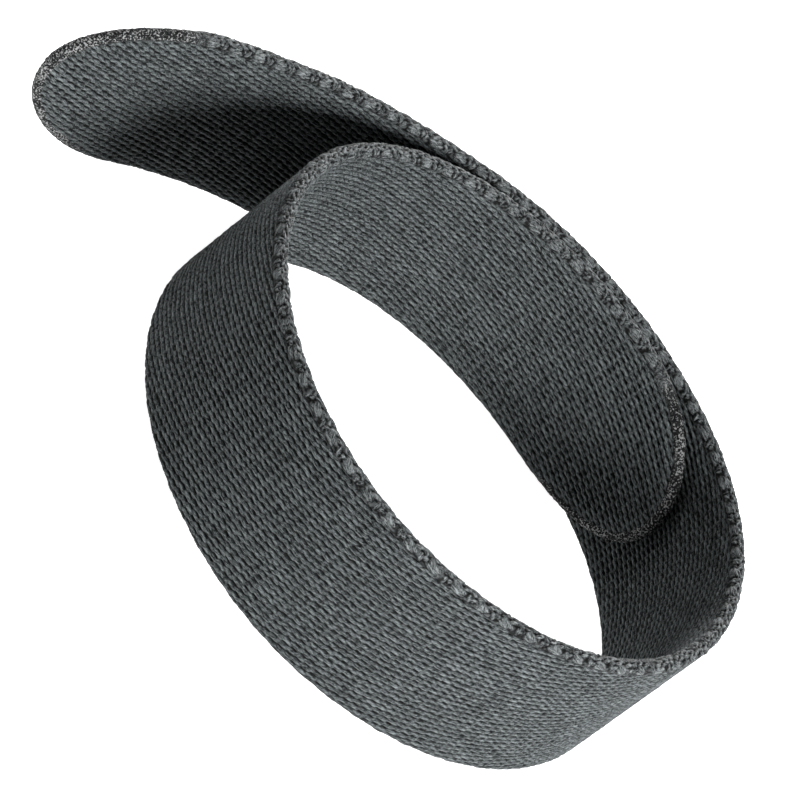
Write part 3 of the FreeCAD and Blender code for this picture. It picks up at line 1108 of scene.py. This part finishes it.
def plastic_material(name, colours, roughness):
    """Moulded black plastic with a fine grain, paler and rougher where it is worn."""
    nodes = Nodes(name)
    coordinates = nodes.tree.nodes.new("ShaderNodeTexCoord").outputs["Object"]
    grain = nodes.noise(coordinates, 1900.0, 3.0, 0.6)
    wear = nodes.noise(coordinates, 420.0, 2.0, 0.5)
    rough = nodes.span(wear, NOISE_LOW, NOISE_HIGH, roughness, roughness + 0.15)
    nodes.put(nodes.shader, "Base Color", nodes.mix(wear, *colours))
    nodes.put(nodes.shader, "Roughness", rough)
    nodes.put(nodes.shader, "Normal", nodes.bump(grain, 0.00003, 0.5))
    return nodes.material


# ---------------------------------------------------------------- stage, light and camera

# From here on, lengths are in metres and angles in degrees.

# The camera: how it stands to the object, and the lens, in millimetres.
AZIMUTH = 4.68
ELEVATION = 31.01
ROLL = 52.39
DISTANCE = 0.621
AIM = Vector((0.00403, -0.00289, 0.010))
SENSOR = 36.0
LENS = 281.9
CLIP = (0.01, 20.0)

# Radius and height of the floor's rings: flat, and swept up round its far edge.
FLOOR_RINGS = ((3.4, 0.0), (3.8, 0.03), (4.1, 0.12), (4.3, 0.28), (4.4, 0.5))
FLOOR_SIDES = 96
# How far it lies under the object, so that the two don't touch.
FLOOR_DROP = 0.0002
FLOOR_COLOUR = (0.6, 0.6, 0.6, 1)
FLOOR_GLOW = 1.0
WHITE = (1, 1, 1, 1)
SKY = 0.02
# Compass direction it comes from, height above the horizon, watts, and how wide.
LIGHTS = (
    ("key", 60.0, 25.0, 34.0, 0.4),
    ("low", 80.0, 8.0, 6.0, 0.4),
    ("back", -160.0, 20.0, 27.0, 0.5),
    ("side", -100.0, 45.0, 6.0, 0.5),
)
LIGHT_DISTANCE = 1.2


def make_floor():
    """A pale floor whose edge sweeps up, so that a low view has no dark horizon."""
    angles = np.linspace(0, 2 * math.pi, FLOOR_SIDES, endpoint=False)
    corners = [
        (radius * math.cos(angle), radius * math.sin(angle), height)
        for radius, height in FLOOR_RINGS
        for angle in angles
    ]
    faces = [tuple(range(FLOOR_SIDES))]
    for ring in range(len(FLOOR_RINGS) - 1):
        first, second = ring * FLOOR_SIDES, (ring + 1) * FLOOR_SIDES
        for i in range(FLOOR_SIDES):
            j = (i + 1) % FLOOR_SIDES
            faces.append((first + i, second + i, second + j, first + j))
    mesh = bpy.data.meshes.new("floor")
    mesh.from_pydata(corners, [], faces)
    nodes = Nodes("pale_floor")
    nodes.shader.inputs["Base Color"].default_value = FLOOR_COLOUR
    nodes.shader.inputs["Roughness"].default_value = 0.9
    nodes.shader.inputs["Emission Color"].default_value = WHITE
    nodes.shader.inputs["Emission Strength"].default_value = FLOOR_GLOW
    mesh.materials.append(nodes.material)
    floor = bpy.data.objects.new("floor", mesh)
    floor.location.z = -FLOOR_DROP
    bpy.context.scene.collection.objects.link(floor)


def make_light(name, azimuth, elevation, watts, size):
    """A square soft light that faces the object."""
    data = bpy.data.lights.new(name, "AREA")
    data.energy = watts
    data.size = size
    light = bpy.data.objects.new(name, data)
    back = direction_from(azimuth, elevation)
    light.location = AIM + back * LIGHT_DISTANCE
    light.rotation_mode = "QUATERNION"
    light.rotation_quaternion = (-back).to_track_quat("-Z", "Y")
    bpy.context.scene.collection.objects.link(light)


def direction_from(azimuth, elevation):
    """Unit vector towards a viewer at this azimuth, where 0 looks along +Y, and elevation."""
    around, above = math.radians(azimuth), math.radians(elevation)
    level = math.cos(above)
    return Vector((math.sin(around) * level, -math.cos(around) * level, math.sin(above)))


def make_world():
    """A nearly black surround: the floor and the lights do the lighting."""
    world = bpy.data.worlds.new("studio")
    world.use_nodes = True
    background = world.node_tree.nodes["Background"]
    background.inputs["Color"].default_value = WHITE
    background.inputs["Strength"].default_value = SKY
    bpy.context.scene.world = world
    bpy.context.scene.view_settings.view_transform = "Standard"


def make_camera():
    """The camera at the photograph's angle, rolled as the photograph is."""
    data = bpy.data.cameras.new("camera")
    data.sensor_width = SENSOR
    data.lens = LENS
    data.clip_start, data.clip_end = CLIP
    camera = bpy.data.objects.new("camera", data)
    back = direction_from(AZIMUTH, ELEVATION)
    camera.location = AIM + back * DISTANCE
    camera.rotation_mode = "QUATERNION"
    upright = (-back).to_track_quat("-Z", "Y")
    camera.rotation_quaternion = upright @ Quaternion((0, 0, 1), math.radians(ROLL))
    bpy.context.scene.collection.objects.link(camera)
    bpy.context.scene.camera = camera


make_camera()
make_strap(webbing_material())
metal = metal_material()
make_washer(plastic_material("washer_plastic", WASHER_COLOURS, roughness=0.38))
make_stud(metal)
make_rivet(metal)
make_hook_patch(
    plastic_material("hook_cloth", CLOTH_COLOURS, roughness=0.8),
    plastic_material("hook_filament", FILAMENT_COLOURS, roughness=0.45),
)
make_floor()
make_world()
for light in LIGHTS:
    make_light(*light)
